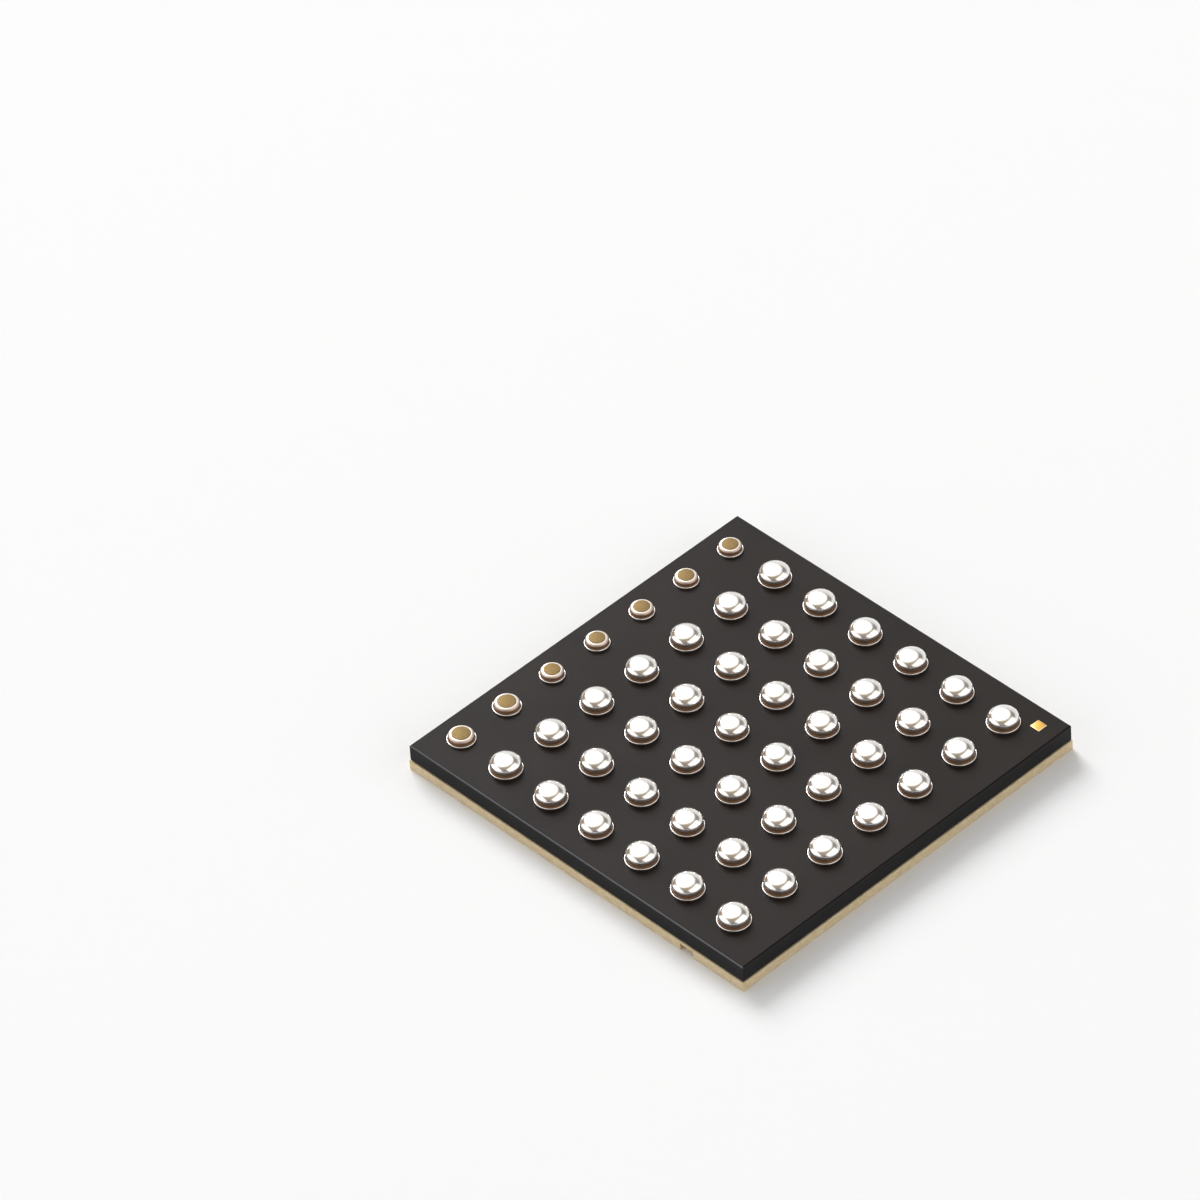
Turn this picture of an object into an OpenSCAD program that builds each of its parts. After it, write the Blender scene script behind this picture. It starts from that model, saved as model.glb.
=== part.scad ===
// Ball grid array package, lying on its laminate with the solder balls up.
// The origin is at the centre of the face that it lies on, +Z is up, and the
// columns 1 to 7 run along +X and the rows A to G along +Y.

/* [Package] */
// Side of the square moulded body
body_w = 7.32; // [7.3:0.01:8.5]
// Thickness of the body without the balls
body_t = 0.50; // [0.48:0.01:0.8]
// Thickness of the tan base laminate
laminate_t = 0.18; // [0.16:0.01:0.22]
// How far the base laminate stands out past the moulding on each side
ledge = 0.015; // [0.005:0.005:0.03]
// Width of the bevel round the ball side
edge_bevel = 0.016; // [0.005:0.001:0.018]

/* [Ball grid] */
// Distance between neighbouring balls
pitch = 1.0; // [0.98:0.01:1.02]
// Offset of the grid from the body's centre, away from the marked edge
grid_shift = -0.17; // [-0.17:0.01:-0.05]

/* [Solder balls] */
// Largest diameter of a ball
ball_d = 0.51; // [0.46:0.005:0.51]
// Height of a ball above the ball side
ball_h = 0.255; // [0.24:0.005:0.3]
// Radius of a ball's round shoulder
shoulder_r = 0.08; // [0.06:0.005:0.12]
// Radius of the flatter crown that the shoulder runs into
crown_r = 0.36; // [0.32:0.01:0.5]
// Outer diameter of the bright rim round a ball
rim_d = 0.55; // [0.55:0.005:0.6]
// Width of the rim round a ball
rim_w = 0.018; // [0.014:0.001:0.019]

/* [Flat bumps] */
// Largest diameter of a flat bump
bump_d = 0.385; // [0.36:0.005:0.385]
// Height of a flat bump above the ball side
bump_h = 0.12; // [0.1:0.005:0.15]
// Diameter of the gilt crown
crown_d = 0.28; // [0.24:0.005:0.3]
// Outer diameter of the bright rim round a flat bump
bump_rim_d = 0.425; // [0.425:0.005:0.44]
// Width of the rim round a flat bump
bump_rim_w = 0.018; // [0.014:0.001:0.019]
// How much wider the bumps and lands of rows A and B are than the others
wide_share = 1.12; // [1:0.01:1.12]

/* [Corner mark] */
// Side of the gold mark
mark_w = 0.19; // [0.1:0.01:0.24]
// Distance from the mark's centre to each of the two edges beside it
mark_inset = 0.36; // [0.25:0.01:0.36]

/* [Edge notch] */
// Width of the notch in the laminate's front edge
notch_w = 0.285; // [0.1:0.005:0.5]
// Distance from the body's centre to the middle of the notch
notch_x = 2.455; // [-3:0.005:3]

/* [Silicon die] */
// Side of the square die
die_w = 5.0; // [4.96:0.01:5.04]
// Thickness of the die
die_t = 0.13; // [0.08:0.01:0.14]

/* [Hidden] */
// Height of the layers, from the bottom up
film_t = 0.025;
trace_t = 0.015;
insulation_t = 0.045;
mask_t = 0.02;
mask_z = body_t - mask_t;
insulation_z = mask_z - insulation_t;
film_z = laminate_t;
die_z = film_z + film_t;
post_z = die_z + die_t;
land_z = insulation_z + trace_t;
trace_z = insulation_z;

laminate_w = body_w + 2 * ledge;
// The moulding's foot is chamfered, which leaves a fine groove above the laminate
foot_chamfer = 0.016;
notch_depth = 0.07;
// Share of the laminate's thickness that the notch takes out
notch_share = 0.76;
mark_t = 0.02;
// How far cutting shapes run past the face that they open
overshoot = 1;

// Radii of the buried copper
post_r = 0.04;
post_pad_r = 0.07;
land_pad_r = 0.19;
trace_w = 0.06;
// Outer posts stand in a square just inside the die's edge, closer than the lands
outer_post_margin = 0.08;
outer_post_at = die_w / 2 - outer_post_margin;
outer_post_step = 0.8;

// Each land is a shallow dish with a rounded rim, and its floor is a little above the mask.
// The mask keeps clear of it all round, by a fine moat.
rim_h = 0.02;
dish_floor = 0.008;
moat_w = 0.014;

// The gilt cap lies on a bump's level top, just inside the round shoulder
cap_t = 0.008;
cap_margin = 0.003;

ROWS = ["a", "b", "c", "d", "e", "f", "g"];
COLUMNS = 7;
BALLS = [for (row = [0:6], column = [2:COLUMNS]) str("ball_", ROWS[row], column)];
BUMPS = [for (row = [0:6]) str("flat_bump_", ROWS[row], 1)];
$fa = 4;
$fs = 0.01;

// Place of a ball, counted in steps from the middle of the grid
function grid_x(column) = grid_shift + (column - 4) * pitch;
function grid_y(row) = (row - 3) * pitch;
// How wide the flat bump of a row is, as a share of bump_d
function width_share(row) = row < 2 ? wide_share : 1;

module at_ball(row, column) {
    translate([grid_x(column), grid_y(row), 0]) children();
}

// One child for every ball, with $column and $row set
module each_ball(first_column = 1, last_column = COLUMNS) {
    for ($row = [0:6], $column = [first_column:last_column])
        at_ball($row, $column) children();
}

// A square slab whose sides follow one profile, a list of [inset, z] from the bottom up
module slab(width, profile) {
    half = width / 2;
    outline = concat(
        [for (p = profile) [half - p[0], p[1]]],
        [for (i = [len(profile) - 1:-1:0]) [profile[i][0] - half, profile[i][1]]]);
    intersection_for (turn = [0, 90])
        rotate([90, 0, turn])
            linear_extrude(height = width, center = true) polygon(outline);
}

module base_laminate() {
    color("#d8bd8a")
        difference() {
            slab(laminate_w, [[0, 0], [0, laminate_t]]);
            translate([notch_x - notch_w / 2, -laminate_w / 2 - overshoot, -overshoot])
                cube([notch_w, overshoot + notch_depth,
                      overshoot + notch_share * laminate_t]);
        }
}

// The film and the die are centred under the grid, as a plain stack
module die_slab(z, thickness) {
    translate([grid_shift, 0, z + thickness / 2]) cube([die_w, die_w, thickness], center = true);
}

module die_attach_film() {
    color("#c9c2a8") die_slab(film_z, film_t);
}

module silicon_die() {
    color("#6d7078") die_slab(die_z, die_t);
}

// Inner lands stand right over their posts. The 24 lands of the outer ring are past the
// die's edge: a side has six of them, and each has its post just inside the edge.
module outer_side(turn) {
    translate([grid_shift, 0]) rotate(turn) children();
}
function outer_post(step) = [outer_post_at, (step + 0.5) * outer_post_step];
function outer_land(step) = [3 * pitch, step * pitch];

module post_places() {
    translate([grid_shift, 0])
        for (x = [-2:2], y = [-2:2]) translate([x * pitch, y * pitch]) children();
    for (turn = [0:90:270], step = [-3:2])
        outer_side(turn) translate(outer_post(step)) children();
}

module post_shafts() {
    post_places()
        translate([0, 0, post_z]) cylinder(r = post_r, h = trace_z - post_z);
}

module copper_posts() {
    color("#b87333") post_shafts();
}

module trace_outline(from, to) {
    run = to - from;
    translate(from) circle(post_pad_r);
    translate(to) circle(land_pad_r);
    translate(from) rotate(atan2(run[1], run[0]))
        translate([0, -trace_w / 2]) square([norm(run), trace_w]);
}

module trace_solids() {
    translate([0, 0, trace_z])
        linear_extrude(height = trace_t) {
            translate([grid_shift, 0])
                for (x = [-2:2], y = [-2:2]) translate([x * pitch, y * pitch]) circle(land_pad_r);
            for (turn = [0:90:270], step = [-3:2])
                outer_side(turn) trace_outline(outer_post(step), outer_land(step));
        }
}

module redistribution_traces() {
    color("#c77f45") trace_solids();
}

module mould_body() {
    color("#2f2f31")
        difference() {
            slab(body_w, [[foot_chamfer, laminate_t], [0, laminate_t + foot_chamfer],
                          [0, insulation_z]]);
            die_slab(film_z, film_t + die_t);
            post_shafts();
        }
}

// Round holes for the lands, from the top of the traces upwards
module land_openings(clearance) {
    each_ball(1, 1)
        translate([0, 0, land_z])
            cylinder(r = width_share($row) * bump_rim_d / 2 + clearance, h = overshoot);
    each_ball(2)
        translate([0, 0, land_z]) cylinder(r = rim_d / 2 + clearance, h = overshoot);
}

module trace_insulation() {
    color("#2b2b2d")
        difference() {
            slab(body_w, [[0, insulation_z], [0, mask_z]]);
            trace_solids();
            land_openings(0);
        }
}

module ball_side_mask() {
    color("#3b3735")
        difference() {
            slab(body_w, [[0, mask_z], [0, body_t - edge_bevel], [edge_bevel, body_t]]);
            land_openings(moat_w);
        }
}

// A round dish whose wall stands up past the mask and ends in a rounded rim
module land(outer_d, wall) {
    round_r = wall / 2;
    round_z = body_t + rim_h - round_r;
    rotate_extrude() {
        translate([0, land_z]) square([outer_d / 2, body_t + dish_floor - land_z]);
        translate([outer_d / 2 - wall, land_z]) square([wall, round_z - land_z]);
        translate([outer_d / 2 - round_r, round_z]) circle(round_r);
    }
}

module ball_lands() {
    color("#c9c3ba") {
        each_ball(1, 1) land(width_share($row) * bump_rim_d, bump_rim_w);
        each_ball(2) land(rim_d, rim_w);
    }
}

// Half section of a ball: a straight foot, a round shoulder, and a flatter crown arc that
// meets the shoulder in one tangent. The shoulder's place is worked out from the height, so
// that the crown's top comes to ball_h.
module ball_section() {
    shoulder_x = ball_d / 2 - shoulder_r;
    drop = sqrt(pow(crown_r - shoulder_r, 2) - pow(shoulder_x, 2));
    crown_z = body_t + ball_h - crown_r;
    shoulder_z = crown_z + drop;
    meet_x = shoulder_x * crown_r / (crown_r - shoulder_r);
    foot_z = body_t + dish_floor;
    intersection() {
        translate([0, foot_z]) square([ball_d, ball_h]);
        union() {
            translate([0, foot_z]) square([ball_d / 2, shoulder_z - foot_z]);
            translate([shoulder_x, shoulder_z]) circle(shoulder_r);
            intersection() {
                translate([0, crown_z]) circle(crown_r);
                translate([0, foot_z]) square([meet_x, ball_h]);
            }
        }
    }
}

module ball(row, column) {
    color("#e4e4e6") at_ball(row, column) rotate_extrude() ball_section();
}

// Half section of a flat bump: straight up from its dish, and then a round shoulder that
// leads to the level top under the gilt cap
module flat_bump_section(share) {
    foot_z = body_t + dish_floor;
    top_z = body_t + bump_h - cap_t;
    level = share * crown_d / 2 + cap_margin;
    round_r = share * bump_d / 2 - level;
    intersection() {
        translate([0, foot_z]) square([bump_d, bump_h]);
        union() {
            translate([0, foot_z]) square([level, top_z - foot_z]);
            translate([0, foot_z]) square([level + round_r, top_z - round_r - foot_z]);
            translate([level, top_z - round_r]) circle(round_r);
        }
    }
}

module flat_bump(row) {
    color("#dcdcde") at_ball(row, 1) rotate_extrude() flat_bump_section(width_share(row));
}

module gilt_caps() {
    color("#c8a868")
        each_ball(1, 1)
            translate([0, 0, body_t + bump_h - cap_t])
                cylinder(d = width_share($row) * crown_d, h = cap_t);
}

module corner_mark() {
    at = body_w / 2 - mark_inset;
    color("#f0c35f")
        translate([at, at, body_t + mark_t / 2]) cube([mark_w, mark_w, mark_t], center = true);
}

base_laminate();
die_attach_film();
silicon_die();
copper_posts();
mould_body();
redistribution_traces();
trace_insulation();
ball_side_mask();
ball_lands();
gilt_caps();
corner_mark();
for (row = [0:6]) {
    flat_bump(row);
    for (column = [2:COLUMNS])
        ball(row, column);
}
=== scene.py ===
"""The looks of a ball grid array chip that lies on its laminate with the solder balls up.

Lengths are in metres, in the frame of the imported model. MM turns millimetres into metres.
"""

import math
import random

import bmesh
import bpy
from mathutils import Matrix, Vector

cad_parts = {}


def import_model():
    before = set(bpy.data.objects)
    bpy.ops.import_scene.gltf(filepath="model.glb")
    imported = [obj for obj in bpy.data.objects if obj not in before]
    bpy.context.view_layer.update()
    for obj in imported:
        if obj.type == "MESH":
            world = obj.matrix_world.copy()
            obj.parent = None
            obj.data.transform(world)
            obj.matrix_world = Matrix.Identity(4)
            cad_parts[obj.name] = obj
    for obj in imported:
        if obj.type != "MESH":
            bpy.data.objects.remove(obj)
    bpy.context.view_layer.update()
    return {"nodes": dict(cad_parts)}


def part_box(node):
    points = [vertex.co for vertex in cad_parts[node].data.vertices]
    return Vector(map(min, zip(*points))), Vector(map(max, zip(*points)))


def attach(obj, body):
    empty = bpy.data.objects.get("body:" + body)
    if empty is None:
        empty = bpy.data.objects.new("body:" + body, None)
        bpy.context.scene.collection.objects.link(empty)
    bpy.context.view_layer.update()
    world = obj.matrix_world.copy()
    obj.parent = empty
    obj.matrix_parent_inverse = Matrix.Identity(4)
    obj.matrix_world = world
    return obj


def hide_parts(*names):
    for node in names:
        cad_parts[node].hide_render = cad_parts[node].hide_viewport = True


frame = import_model()

MM = 0.001
ROWS = "abcdefg"
BALL_COLUMNS = range(2, 8)
BALL_NODES = [f"ball_{row}{column}" for row in ROWS for column in BALL_COLUMNS]
BUMP_NODES = [f"flat_bump_{row}1" for row in ROWS]
WEAR = random.Random(7)


# ---------------------------------------------------------------- places from the frame

def centre_of(node):
    low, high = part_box(node)
    return (low + high) / 2


def size_of(node):
    low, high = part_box(node)
    return high - low


MASK_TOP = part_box("ball_side_mask")[1].z
FACE_CENTRE = Vector((0, 0, MASK_TOP))
BODY_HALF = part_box("mould_body")[1].x

# Sizes that the boxes of the nodes don't give
RIM = 0.018 * MM
CROWN_MARGIN = 0.003 * MM
BEVEL = 0.016 * MM
MARK_BEVEL = 0.012 * MM

# Down a ball's side its bend radius goes from CROWN_BEND to SHOULDER_BEND between the first two
# tilts, and its foot starts at the third. Tilts are in degrees from level.
CROWN_BEND = 0.36 * MM
SHOULDER_BEND = 0.08 * MM
CROWN_TILT = 15
SHOULDER_TILT = 60
FOOT_TILT = 102
TILT_STEP = 6
FOOT_STEPS = 4
# How much slimmer and lower than the rest a ball may be, as a share
BALL_VARIATION = 0.01

# Steps of a full turn, the angle past which an edge is left sharp, and how near is the same
TURN_STEPS = 64
CREASE = math.radians(35)
SAME_PLACE = 1e-9
SAME_HEIGHT = 1e-7


# ---------------------------------------------------------------- nodes and colours

def linear(hex_colour):
    """The linear RGBA of an sRGB hex colour."""
    channels = [int(hex_colour[i:i + 2], 16) / 255 for i in (1, 3, 5)]
    return tuple(c / 12.92 if c <= 0.04045 else ((c + 0.055) / 1.055) ** 2.4 for c in channels) + (1.0,)


def connect(owner, node, sockets):
    """Sets a node's inputs, by name or as _ and a number, to values or to other nodes' outputs."""
    for key, value in sockets.items():
        socket = node.inputs[int(key[1:]) if key[0] == "_" else key.replace("_", " ")]
        if isinstance(value, bpy.types.NodeSocket):
            owner.node_tree.links.new(value, socket)
        else:
            socket.default_value = value


def add(owner, kind, settings=None, stops=None, **sockets):
    """Adds a node to a material or the world, and gives its outputs. Settings are its properties, and
    stops the places on its ramp with their hex colours."""
    node = owner.node_tree.nodes.new("ShaderNode" + kind)
    for key, value in (settings or {}).items():
        setattr(node, key, value)
    if stops:
        elements = node.color_ramp.elements
        while len(elements) < len(stops):
            elements.new(0.5)
        for element, (place, colour) in zip(elements, stops):
            element.position = place
            element.color = linear(colour)
    connect(owner, node, sockets)
    return node.outputs


def new_material(name):
    material = bpy.data.materials.new(name)
    material.use_nodes = True
    return material


def finish(material, **sockets):
    """Sets the material's shader, and gives the material."""
    connect(material, material.node_tree.nodes["Principled BSDF"], sockets)
    return material


def grains(*sizes_mm):
    """The scale that counts a place in grains of this size, or of one size along each axis."""
    scale = [1 / (size * MM) for size in sizes_mm]
    return scale if len(scale) > 1 else scale[0]


# The range that noise mostly keeps to. A MapRange node that isn't told its ranges takes 0 and 1.
NOISE = {"From_Min": 0.3, "From_Max": 0.7}
# Makes a Mix node blend two colours: inputs 6 and 7, by the share at input 0, into output 2
BLEND = {"data_type": "RGBA"}


# ---------------------------------------------------------------- materials

# The filler, the saw marks, the glass and the crystals of the solder have about their real size. The
# grain of the plating, the tooth of the solder mask and the grinding lines of the die are really finer,
# and are drawn as coarse as they need to show.

def moulding_compound():
    """Black epoxy moulding compound, sawn: matt, with fine silica filler and faint saw marks."""
    material = new_material("moulding_compound")
    place = add(material, "TexCoord")["Object"]
    filler = add(material, "TexNoise", Vector=place, Scale=grains(0.03), Detail=3.0)["Fac"]
    along = add(material, "Mapping", Vector=place, Scale=grains(1.6, 1.6, 0.012))["Vector"]
    saw = add(material, "TexNoise", Vector=along, Scale=1.0)["Fac"]
    tone = add(material, "ValToRGB", Fac=filler, stops=[(0.3, "#151516"), (0.7, "#1e1e1f")])["Color"]
    rough = add(material, "MapRange", Value=saw, To_Min=0.5, To_Max=0.62, **NOISE)["Result"]
    grain = add(material, "Math", {"operation": "ADD"}, _0=filler, _1=saw)["Value"]
    relief = add(material, "Bump", Height=grain, Distance=0.0012 * MM, Strength=0.5)["Normal"]
    return finish(material, Base_Color=tone, Roughness=rough, Specular_IOR_Level=0.13, Normal=relief)


def insulation_polymer():
    """Cured black polymer, sawn flush with the moulding: a little smoother, with no filler in it."""
    material = new_material("insulation_polymer")
    place = add(material, "TexCoord")["Object"]
    along = add(material, "Mapping", Vector=place, Scale=grains(1.6, 1.6, 0.01))["Vector"]
    saw = add(material, "TexNoise", Vector=along, Scale=1.0)["Fac"]
    tone = add(material, "ValToRGB", Fac=saw, stops=[(0.3, "#151516"), (0.7, "#1d1d1e")])["Color"]
    rough = add(material, "MapRange", Value=saw, To_Min=0.48, To_Max=0.58, **NOISE)["Result"]
    relief = add(material, "Bump", Height=saw, Distance=0.0008 * MM, Strength=0.5)["Normal"]
    return finish(material, Base_Color=tone, Roughness=rough, Specular_IOR_Level=0.15, Normal=relief)


def solder_mask():
    """Brown-black liquid solder mask, printed and cured: near black under a satin gloss, with an even
    fine tooth, cloudy in its gloss, painted paler on the bevels of the last two saw cuts as a painted edge
    highlight, and scuffed dull on those of the first two."""
    material = new_material("solder_mask")
    place = add(material, "TexCoord")["Object"]
    tooth = add(material, "TexNoise", Vector=place, Scale=grains(0.022))["Fac"]
    cloud = add(material, "TexNoise", Vector=place, Scale=grains(1.7), Detail=3.0)["Fac"]
    axes = add(material, "SeparateXYZ", Vector=place)
    on_bevel = {}
    for axis in "XY":
        outwards = add(material, "Math", {"operation": "ABSOLUTE"}, _0=axes[axis])["Value"]
        on_bevel[axis] = add(material, "MapRange", Value=outwards, From_Min=BODY_HALF - 1.1 * BEVEL,
                             From_Max=BODY_HALF - 0.6 * BEVEL)["Result"]
    tone = add(material, "ValToRGB", Fac=cloud, stops=[(0.3, "#130d0b"), (0.7, "#18110f")])["Color"]
    # The bevels of the saw cuts across Y are painted pale grey: a painted edge highlight.
    tone = add(material, "Mix", BLEND, _0=on_bevel["Y"], _6=tone, _7=linear("#626266"))[2]
    gloss = add(material, "MapRange", Value=cloud, To_Min=0.27, To_Max=0.33, **NOISE)["Result"]
    rough = add(material, "Math", {"operation": "MULTIPLY_ADD"},
                _0=on_bevel["X"], _1=0.55, _2=gloss)["Value"]
    relief = add(material, "Bump", Height=tooth, Distance=0.0004 * MM, Strength=0.4)["Normal"]
    return finish(material, Base_Color=tone, Roughness=rough, Specular_IOR_Level=0.155, Normal=relief)


def bt_laminate():
    """Tan BT resin and woven glass laminate, sawn: the glass shows in the edge as paler streaks and
    specks."""
    material = new_material("bt_laminate")
    place = add(material, "TexCoord")["Object"]
    along = add(material, "Mapping", Vector=place, Scale=grains(0.16, 0.16, 0.03))["Vector"]
    bundles = add(material, "TexNoise", Vector=along, Scale=1.0, Detail=3.0, Roughness=0.6)["Fac"]
    across = add(material, "Mapping", Vector=place, Scale=grains(0.05, 0.05, 0.012))["Vector"]
    fibres = add(material, "TexNoise", Vector=across, Scale=1.0)["Fac"]
    tone = add(material, "ValToRGB", Fac=bundles,
               stops=[(0.3, "#dcc69e"), (0.5, "#e8d5b0"), (0.72, "#f1e4c6")])["Color"]
    specks = add(material, "ValToRGB", Fac=fibres, stops=[(0.3, "#dccfb4"), (0.7, "#ffffff")])["Color"]
    tone = add(material, "Mix", {**BLEND, "blend_type": "MULTIPLY"}, _0=0.6, _6=tone, _7=specks)[2]
    rough = add(material, "MapRange", Value=fibres, To_Min=0.45, To_Max=0.65, **NOISE)["Result"]
    relief = add(material, "Bump", Height=fibres, Distance=0.0015 * MM, Strength=0.6)["Normal"]
    return finish(material, Base_Color=tone, Roughness=rough, Specular_IOR_Level=0.35, Normal=relief)


def bright_solder():
    """Reflowed tin-silver solder: a bright skin with a faint crystal texture that softens what it mirrors,
    duller down the side, and painted browner and less metallic at the foot as a painted reflection of the
    mask."""
    material = new_material("bright_solder")
    place = add(material, "TexCoord")["Object"]
    skin = add(material, "TexNoise", Vector=place, Scale=grains(0.05), Detail=3.0)["Fac"]
    height = add(material, "SeparateXYZ", Vector=place)["Z"]
    # Towards the foot the solder is painted brown and less metallic: a painted reflection of the
    # brown-black mask and its sheen.
    painted_foot_reflection = add(material, "MapRange", {"interpolation_type": "SMOOTHSTEP"}, Value=height, To_Min=1.0,
               To_Max=0.0, From_Min=MASK_TOP + 0.07 * MM, From_Max=MASK_TOP + 0.135 * MM)["Result"]
    dull = add(material, "MapRange", Value=height, To_Min=1.0, To_Max=0.0,
               From_Min=MASK_TOP + 0.11 * MM, From_Max=MASK_TOP + 0.17 * MM)["Result"]
    tone = add(material, "Mix", BLEND, _0=painted_foot_reflection, _6=linear("#f4f3f1"), _7=linear("#a07c60"))[2]
    metal = add(material, "MapRange", Value=painted_foot_reflection, To_Min=1.0, To_Max=0.6)["Result"]
    clean = add(material, "MapRange", Value=skin, To_Min=0.16, To_Max=0.2, **NOISE)["Result"]
    rough = add(material, "Math", {"operation": "MULTIPLY_ADD"}, _0=dull, _1=0.2, _2=clean)["Value"]
    relief = add(material, "Bump", Height=skin, Distance=0.0004 * MM, Strength=0.5)["Normal"]
    return finish(material, Base_Color=tone, Metallic=metal, Roughness=rough, Normal=relief)


def tinned_rim():
    """Tin-plated copper rim of a land: bright, with soft plating grain."""
    material = new_material("tinned_rim")
    place = add(material, "TexCoord")["Object"]
    grain = add(material, "TexNoise", Vector=place, Scale=grains(0.02))["Fac"]
    rough = add(material, "MapRange", Value=grain, To_Min=0.3, To_Max=0.4, **NOISE)["Result"]
    return finish(material, Base_Color=linear("#f6f6f5"), Metallic=1.0, Roughness=rough)


def grainy_metal(name, grain_mm, detail, dark, bright, smooth, rough, relief_mm=0.0):
    """A metal whose tone and gloss both vary with one fine grain, with a relief where one is given."""
    material = new_material(name)
    place = add(material, "TexCoord")["Object"]
    grain = add(material, "TexNoise", Vector=place, Scale=grains(grain_mm), Detail=detail)["Fac"]
    tone = add(material, "ValToRGB", Fac=grain, stops=[(0.3, dark), (0.7, bright)])["Color"]
    gloss = add(material, "MapRange", Value=grain, To_Min=smooth, To_Max=rough, **NOISE)["Result"]
    sockets = {"Base_Color": tone, "Metallic": 1.0, "Roughness": gloss}
    if relief_mm:
        relief = add(material, "Bump", Height=grain, Distance=relief_mm * MM, Strength=0.5)["Normal"]
        sockets["Normal"] = relief
    return finish(material, **sockets)


def oxidised_copper():
    """Copper floor of a land, browned by the reflow heat: dull and dark."""
    return grainy_metal("oxidised_copper", 0.03, 2.0, "#33261f", "#4b382e", 0.35, 0.5)


def matt_gold():
    """Electroplated gold on a coined crown: matt tan-gold with a very fine grain."""
    return grainy_metal("matt_gold", 0.014, 3.0, "#5a4b31", "#86714b", 0.42, 0.58, relief_mm=0.001)


def flash_gold():
    """Flash gold over nickel on the corner mark: warm yellow and smoother than the crowns."""
    return grainy_metal("flash_gold", 0.02, 2.0, "#be944b", "#c8a15a", 0.42, 0.52)


def edge_highlight_gold():
    """Pale gold on the mark's bevelled edges and sides: a painted edge highlight."""
    return grainy_metal("edge_highlight_gold", 0.02, 2.0, "#ecd3a0", "#f4e4c0", 0.3, 0.4)


def plated_copper():
    """Electroplated copper of the buried posts and traces: satin, with a fine grain."""
    return grainy_metal("plated_copper", 0.015, 2.0, "#b8703c", "#cc8350", 0.3, 0.4)


def ground_silicon():
    """Silicon die, ground thin: dark grey metal sheen with fine grinding lines."""
    material = new_material("ground_silicon")
    place = add(material, "TexCoord")["Object"]
    along = add(material, "Mapping", Vector=place, Scale=grains(0.01, 2.0, 0.01))["Vector"]
    lines = add(material, "TexNoise", Vector=along, Scale=1.0)["Fac"]
    tone = add(material, "ValToRGB", Fac=lines, stops=[(0.3, "#5f626a"), (0.7, "#7a7d85")])["Color"]
    rough = add(material, "MapRange", Value=lines, To_Min=0.25, To_Max=0.4, **NOISE)["Result"]
    return finish(material, Base_Color=tone, Metallic=0.6, Roughness=rough)


def attach_film():
    """Die attach film: a cured adhesive sheet, cloudy and soft in its gloss."""
    material = new_material("attach_film")
    place = add(material, "TexCoord")["Object"]
    cloud = add(material, "TexNoise", Vector=place, Scale=grains(0.4))["Fac"]
    tone = add(material, "ValToRGB", Fac=cloud, stops=[(0.3, "#bdb597"), (0.7, "#cfc8ad")])["Color"]
    rough = add(material, "MapRange", Value=cloud, To_Min=0.45, To_Max=0.6, **NOISE)["Result"]
    return finish(material, Base_Color=tone, Roughness=rough, Specular_IOR_Level=0.4)


# ---------------------------------------------------------------- turned shapes

def arc(centre, radius, start, end, steps):
    """Points of a round stretch in the (radius, height) plane, from start to end in degrees."""
    turns = [math.radians(start + (end - start) * i / steps) for i in range(steps + 1)]
    return [(centre[0] + radius * math.cos(t), centre[1] + radius * math.sin(t)) for t in turns]


def turn(bm, outline, at):
    """Spins an open outline of (radius, height) points about a vertical axis through at."""
    before = set(bm.verts)
    points = [bm.verts.new((r, 0, z)) for r, z in outline]
    edges = [bm.edges.new(pair) for pair in zip(points, points[1:])]
    bmesh.ops.spin(bm, geom=points + edges, cent=(0, 0, 0), axis=(0, 0, 1), angle=math.tau,
                   steps=TURN_STEPS, use_merge=True)
    made = [v for v in bm.verts if v not in before]
    bmesh.ops.remove_doubles(bm, verts=made, dist=SAME_PLACE)
    made = [v for v in bm.verts if v not in before]
    bmesh.ops.translate(bm, verts=made, vec=(at.x, at.y, 0))


def piece(name, bm, materials):
    """A finished object at the origin, smooth but for its creases, that rides on the chip."""
    bmesh.ops.recalc_face_normals(bm, faces=bm.faces)
    for face in bm.faces:
        face.smooth = True
    for edge in bm.edges:
        edge.smooth = len(edge.link_faces) == 2 and edge.calc_face_angle() < CREASE
    mesh = bpy.data.meshes.new(name)
    bm.to_mesh(mesh)
    bm.free()
    for material in materials:
        mesh.materials.append(material)
    made = bpy.data.objects.new(name, mesh)
    bpy.context.scene.collection.objects.link(made)
    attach(made, "root")
    return made


def ball_outline(radius, foot, top):
    """A dome whose bend tightens smoothly from its crown to its shoulder, over a foot that stands nearly
    straight."""
    dome = [(0.0, 0.0)]
    for tilt in range(TILT_STEP // 2, FOOT_TILT, TILT_STEP):
        share = min(1.0, max(0.0, (tilt - CROWN_TILT) / (SHOULDER_TILT - CROWN_TILT)))
        bend = CROWN_BEND + (SHOULDER_BEND - CROWN_BEND) * share * share * (3 - 2 * share)
        stretch = bend * math.radians(TILT_STEP)
        across, down = dome[-1]
        across += stretch * math.cos(math.radians(tilt))
        down += stretch * math.sin(math.radians(tilt))
        dome.append((across, down))
    scale = radius / max(across for across, down in dome)
    dome = [(across * scale, top - down * scale) for across, down in dome]
    waist_x, waist_z = dome[-1]
    below = [step / FOOT_STEPS for step in range(1, FOOT_STEPS + 1)]
    stand = [(waist_x + (radius - waist_x) * t * t, waist_z + (foot - waist_z) * t) for t in below]
    return dome + stand + [(0, foot)]


def crown_share():
    """The radius of a gilt crown, as a share of its bump's radius."""
    first = BUMP_NODES[0]
    return (centre_of(first).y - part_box("gilt_caps")[0].y) / (size_of(first).y / 2)


def bump_outline(radius, foot, top):
    """A straight side and a round shoulder, with a level top that the gilt crown lies on."""
    level = crown_share() * radius + CROWN_MARGIN
    shoulder = radius - level
    side = arc((level, top - shoulder), shoulder, start=0, end=90, steps=10)
    return [(0, foot), (radius, foot)] + side + [(0, top)]


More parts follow.
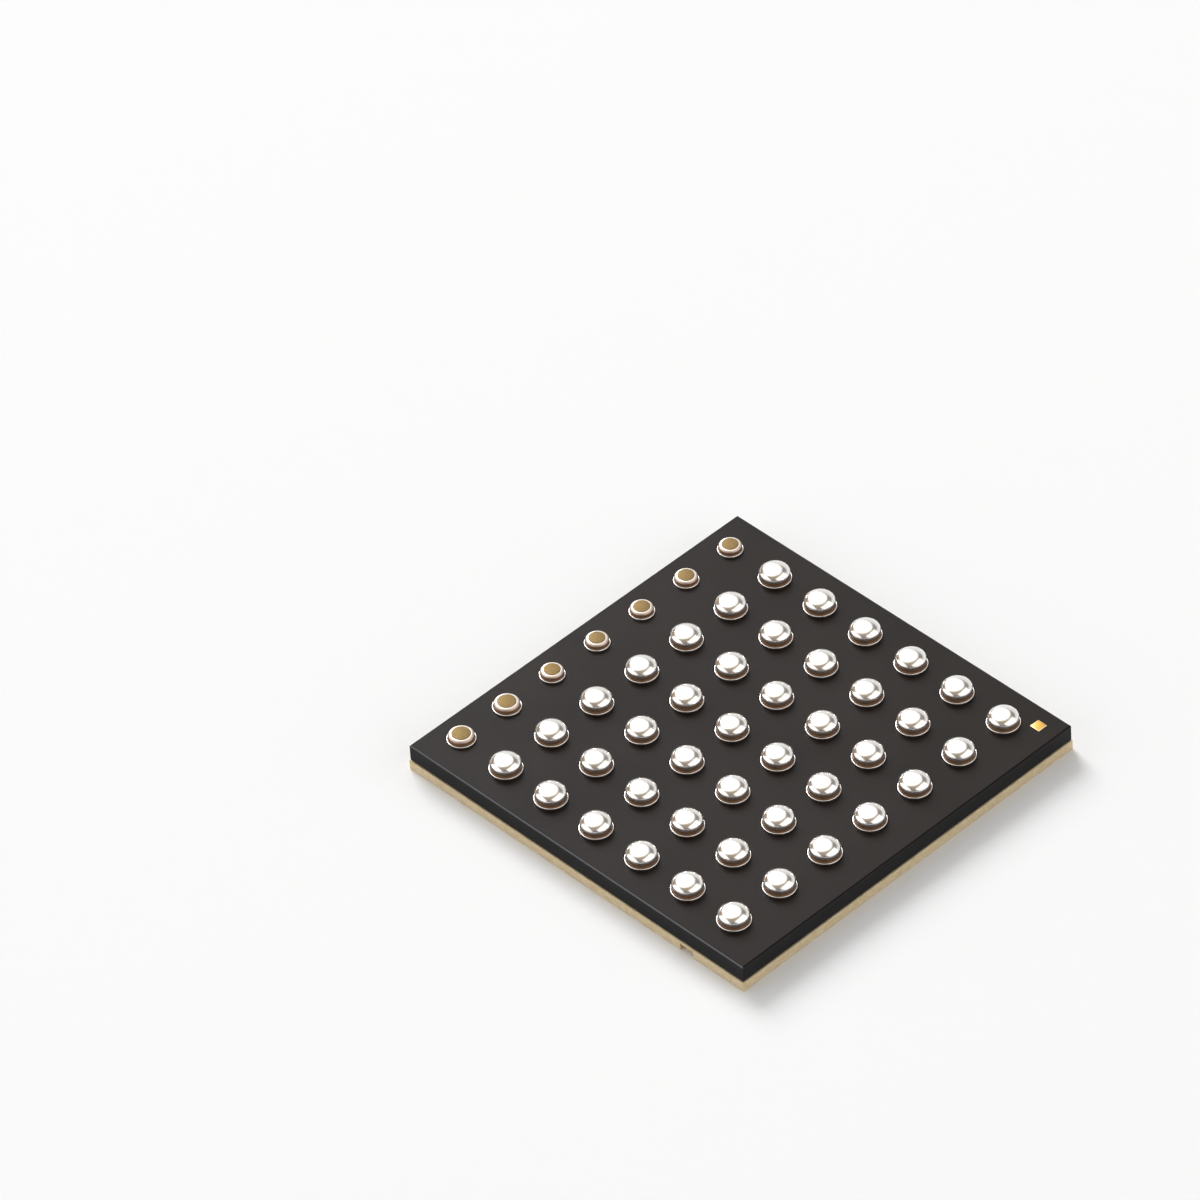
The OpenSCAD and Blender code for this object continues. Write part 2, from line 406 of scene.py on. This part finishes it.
def solder_piece(node, outline, material):
    """A smooth solder body in a node's place. Of the balls no two are quite the same."""
    low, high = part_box(node)
    radius = (high.x - low.x) / 2
    top = high.z
    if outline is ball_outline:
        radius *= WEAR.uniform(1 - BALL_VARIATION, 1)
        top -= (high.z - low.z) * WEAR.uniform(0, BALL_VARIATION)
    bm = bmesh.new()
    turn(bm, outline(radius, low.z, top), centre_of(node))
    made = piece("solder_" + node, bm, [material])
    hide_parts(node)


# ---------------------------------------------------------------- stage, light and camera

VIEW_AZIMUTH = 46.4
VIEW_ELEVATION = 43.07
VIEW_DISTANCE = 143 * MM
VIEW_ROLL = -2.68
# The chip lies right of and below the middle of the picture: where the camera aims, from the face's centre
AIM_RIGHT = -2.188 * MM
AIM_UP = 2.116 * MM
PICTURE_WIDTH = 18.77 * MM
SENSOR_WIDTH_MM = 36
NEAREST_SEEN = 1 * MM
FARTHEST_SEEN = 2000 * MM

FLOOR_HALF = 3000 * MM
FLOOR_GAP = 0.002 * MM
# How much of its own white the floor adds to the light that falls on it, where it is seen
FLOOR_LIFT = 0.015


def direction(azimuth, elevation):
    """The unit vector towards a place round the chip. Azimuth 0 is at -Y and 90 at +X."""
    a = math.radians(azimuth)
    e = math.radians(elevation)
    return Vector((math.sin(a) * math.cos(e), -math.cos(a) * math.cos(e), math.sin(e)))


def softbox(name, azimuth, elevation, distance_mm, width_mm, height_mm, radiance, shape="ELLIPSE"):
    """An area lamp that faces the chip, with the radiance it shows in a mirror. Its azimuth counts from
    that of the view."""
    lamp = bpy.data.lights.new(name, "AREA")
    lamp.shape = shape
    lamp.size = width_mm * MM
    lamp.size_y = height_mm * MM
    area = lamp.size * lamp.size_y * (math.pi / 4 if shape == "ELLIPSE" else 1)
    lamp.energy = radiance * area * math.pi
    made = bpy.data.objects.new(name, lamp)
    back = direction(VIEW_AZIMUTH + azimuth, elevation)
    made.location = FACE_CENTRE + back * distance_mm * MM
    made.rotation_euler = back.to_track_quat("Z", "Y").to_euler()
    bpy.context.scene.collection.objects.link(made)


def lamps():
    softbox("overhead_softbox", azimuth=-156, elevation=65, distance_mm=600, width_mm=1025, height_mm=1025,
            radiance=0.99)
    softbox("key_softbox", azimuth=-153, elevation=35, distance_mm=800, width_mm=440, height_mm=440,
            radiance=10.5)
    softbox("left_softbox", azimuth=-70, elevation=9, distance_mm=600, width_mm=1080, height_mm=900,
            radiance=1.05)
    softbox("right_softbox", azimuth=56, elevation=31, distance_mm=600, width_mm=900, height_mm=660,
            radiance=1.05, shape="RECTANGLE")


def camera():
    back = direction(VIEW_AZIMUTH, VIEW_ELEVATION)
    level = Vector((0, 0, 1)).cross(back).normalized()
    turned = Matrix.Rotation(math.radians(VIEW_ROLL), 3, back)
    right = turned @ level
    up = back.cross(right)
    place = FACE_CENTRE + back * VIEW_DISTANCE
    aim = FACE_CENTRE + right * AIM_RIGHT + up * AIM_UP
    axis_z = (place - aim).normalized()
    axis_x = up.cross(axis_z).normalized()
    axis_y = axis_z.cross(axis_x)
    data = bpy.data.cameras.new("camera")
    data.sensor_width = SENSOR_WIDTH_MM
    data.lens = SENSOR_WIDTH_MM * VIEW_DISTANCE / PICTURE_WIDTH
    data.clip_start = NEAREST_SEEN
    data.clip_end = FARTHEST_SEEN
    made = bpy.data.objects.new("camera", data)
    made.matrix_world = Matrix.Translation(place) @ Matrix((axis_x, axis_y, axis_z)).transposed().to_4x4()
    bpy.context.scene.collection.objects.link(made)
    bpy.context.scene.camera = made


def is_seen(owner):
    """1 for rays from the camera and for those by which metal and glass show what is round them, else 0."""
    path = add(owner, "LightPath")
    seen = path["Is Camera Ray"]
    for kind in ("Is Glossy Ray", "Is Transmission Ray"):
        seen = add(owner, "Math", {"operation": "MAXIMUM"}, _0=seen, _1=path[kind])["Value"]
    return seen


def floor():
    """A plain pale table top, just clear of the chip's resting face. It shows white to the eye and in
    metal, and keeps the chip's shadow."""
    bm = bmesh.new()
    bmesh.ops.create_grid(bm, x_segments=1, y_segments=1, size=FLOOR_HALF)
    bmesh.ops.translate(bm, verts=bm.verts, vec=(0, 0, -FLOOR_GAP))
    mesh = bpy.data.meshes.new("floor")
    bm.to_mesh(mesh)
    bm.free()
    made = bpy.data.objects.new("floor", mesh)
    bpy.context.scene.collection.objects.link(made)
    material = new_material("table_top")
    lift = add(material, "MapRange", Value=is_seen(material), To_Max=FLOOR_LIFT)["Result"]
    mesh.materials.append(finish(
        material, Base_Color=linear("#ededed"), Roughness=0.9, Specular_IOR_Level=0.1,
        Emission_Color=linear("#ffffff"), Emission_Strength=lift))


def patch(room, towards, colour, tint, azimuth, elevation, inner, outer):
    """The room's colour with a soft round patch of another tint, given by the cosines of its inner and
    outer edge. Its azimuth counts from that of the view."""
    middle = direction(VIEW_AZIMUTH + azimuth, elevation)
    near = add(room, "VectorMath", {"operation": "DOT_PRODUCT"}, _0=towards, _1=middle)["Value"]
    inside = add(room, "MapRange", Value=near, From_Min=outer, From_Max=inner)["Result"]
    return add(room, "Mix", BLEND, _0=inside, _6=colour, _7=linear(tint))[2]


def world():
    """A plain warm grey room with a white skyline, as metal shows it. It is dark low down on the side that
    the chip is looked at from, grey behind on the right and tan behind on the left. Matt surfaces get a
    dim and even fill."""
    room = bpy.data.worlds.new("room")
    bpy.context.scene.world = room
    room.use_nodes = True
    towards = add(room, "TexCoord")["Generated"]
    up = add(room, "SeparateXYZ", Vector=towards)["Z"]
    skyline = add(room, "ValToRGB", Fac=up,
                  stops=[(0.0, "#f2f1ef"), (0.4, "#ebe9e6"), (0.55, "#a99e91"), (0.8, "#ab9f8d")])["Color"]
    gap = add(room, "ValToRGB", Fac=up,
              stops=[(0.0, "#4d4243"), (0.26, "#766b69"), (0.6, "#8f847a"), (0.9, "#a89b87")])["Color"]
    viewer = direction(VIEW_AZIMUTH, 0)
    front = add(room, "VectorMath", {"operation": "DOT_PRODUCT"}, _0=towards, _1=viewer)["Value"]
    ahead = add(room, "MapRange", Value=front, From_Max=0.4)["Result"]
    colour = add(room, "Mix", BLEND, _0=ahead, _6=skyline, _7=gap)[2]
    colour = patch(room, towards, colour, "#8a8582", azimuth=127, elevation=42, inner=0.985, outer=0.94)
    colour = patch(room, towards, colour, "#96806a", azimuth=-132, elevation=12, inner=0.95, outer=0.87)
    colour = add(room, "Mix", BLEND, _0=is_seen(room), _6=linear("#302e2c"), _7=colour)[2]
    connect(room, room.node_tree.nodes["Background"], {"Color": colour})


# ---------------------------------------------------------------- the chip

def dress(node, material):
    """Gives a CAD node its material."""
    mesh = frame["nodes"][node].data
    mesh.materials.clear()
    mesh.materials.append(material)


def lands(tin, copper):
    """All lands in one piece: a dish of dull copper in a wall with a rounded tin rim."""
    bm = bmesh.new()
    low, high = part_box("ball_lands")
    floor_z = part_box("ball_a2")[0].z
    under_ball = high.x - centre_of("ball_a7").x
    first = BUMP_NODES[0]
    share_of_bump = (centre_of(first).x - low.x) / (size_of(first).x / 2)
    for node in BUMP_NODES + BALL_NODES:
        outer = share_of_bump * size_of(node).x / 2 if node in BUMP_NODES else under_ball
        rim = arc((outer - RIM / 2, high.z - RIM / 2), RIM / 2, start=0, end=180, steps=10)
        wall = [(0, low.z), (outer, low.z)] + rim
        turn(bm, wall + [(outer - RIM, floor_z), (0, floor_z)], centre_of(node))
    for face in bm.faces:
        face.material_index = 1 if abs(face.calc_center_median().z - floor_z) < SAME_HEIGHT else 0
    made = piece("tinned_lands", bm, [tin, copper])
    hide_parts("ball_lands")


def crowns(gold):
    """The gilt crowns of the flat bumps, with a softly rounded edge."""
    low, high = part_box("gilt_caps")
    thick = high.z - low.z
    bm = bmesh.new()
    for node in BUMP_NODES:
        radius = crown_share() * size_of(node).x / 2
        edge = arc((radius - thick, low.z), thick, start=0, end=90, steps=5)
        turn(bm, [(0, low.z)] + edge + [(0, high.z)], centre_of(node))
    made = piece("gilt_crowns", bm, [gold])
    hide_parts("gilt_caps")


def corner_mark(gold, highlight_gold):
    """The square mark, with soft edges whose bevels and sides are painted pale gold as a painted edge
    highlight.
    """
    low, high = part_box("corner_mark")
    bm = bmesh.new()
    bmesh.ops.create_cube(bm, size=1)
    bmesh.ops.scale(bm, vec=high - low, verts=bm.verts)
    bmesh.ops.translate(bm, vec=(low + high) / 2, verts=bm.verts)
    upper = [e for e in bm.edges if all(v.co.z > (low.z + high.z) / 2 for v in e.verts)]
    bmesh.ops.bevel(bm, geom=upper, offset=MARK_BEVEL, offset_type="OFFSET", segments=3, profile=0.5,
                    affect="EDGES", material=-1)
    bm.normal_update()
    for face in bm.faces:
        # The bevels and sides take the pale gold: a painted edge highlight.
        face.material_index = 0 if face.normal.z > 0.99 else 1
    made = piece("gold_mark", bm, [gold, highlight_gold])
    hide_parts("corner_mark")


def chip():
    solder = bright_solder()
    for node in BALL_NODES:
        solder_piece(node, ball_outline, solder)
    for node in BUMP_NODES:
        solder_piece(node, bump_outline, solder)
    lands(tinned_rim(), oxidised_copper())
    crowns(matt_gold())
    corner_mark(flash_gold(), edge_highlight_gold())
    copper = plated_copper()
    dress("ball_side_mask", solder_mask())
    dress("trace_insulation", insulation_polymer())
    dress("mould_body", moulding_compound())
    dress("base_laminate", bt_laminate())
    dress("silicon_die", ground_silicon())
    dress("die_attach_film", attach_film())
    dress("copper_posts", copper)
    dress("redistribution_traces", copper)


camera()
world()
lamps()
floor()
chip()
bpy.context.scene.view_settings.view_transform = "Standard"
